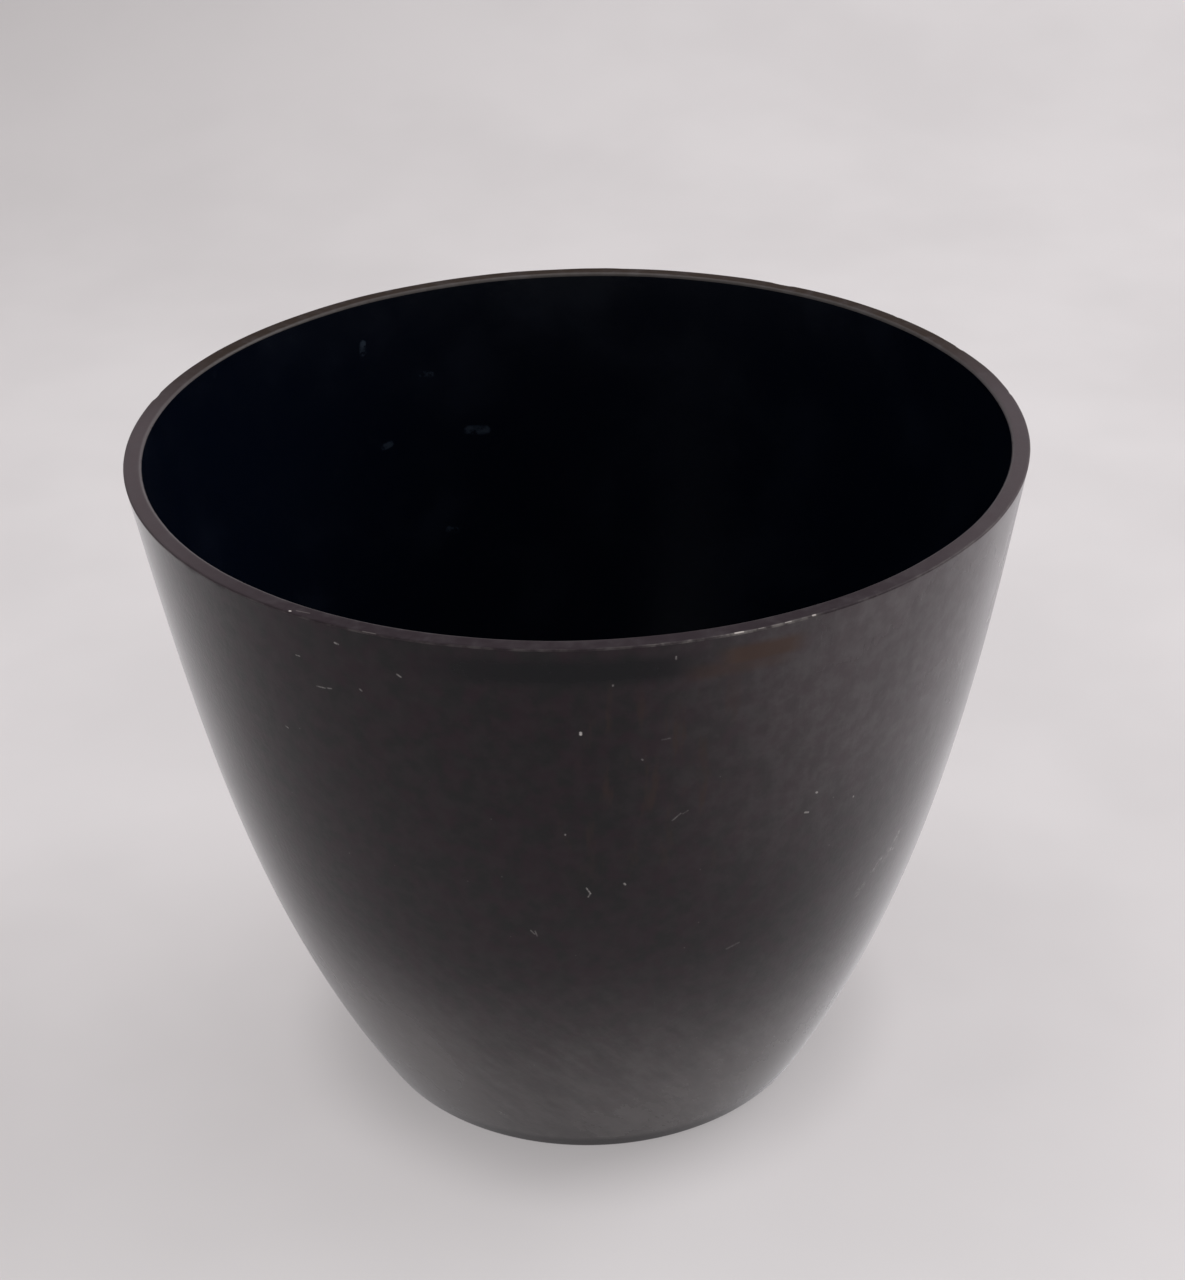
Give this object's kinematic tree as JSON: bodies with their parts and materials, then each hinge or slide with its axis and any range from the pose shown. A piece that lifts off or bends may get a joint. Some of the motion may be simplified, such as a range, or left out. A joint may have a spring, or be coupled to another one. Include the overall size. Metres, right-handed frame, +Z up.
{
  "type": "mortar mixing tub",
  "caption": "Round open cup with thin convex sides that taper from a flat rim to a small base, used to mix a hand-sized batch of mortar, plaster or filler.",
  "frame": {"origin": "centre of the ring that the cup stands on, at the height of the surface under it", "axes": "+Z up along the axis of the cup; X and Y are any two level directions, because the cup is round"},
  "size_m": [0.125, 0.125, 0.101],
  "materials": {
    "black_rubber": "satin black rubber, dusty, with rub marks outside and a scuffed rim edge"
  },
  "bodies": {
    "root": {"mixing_tub": "black_rubber"}
  },
  "joints": []
}
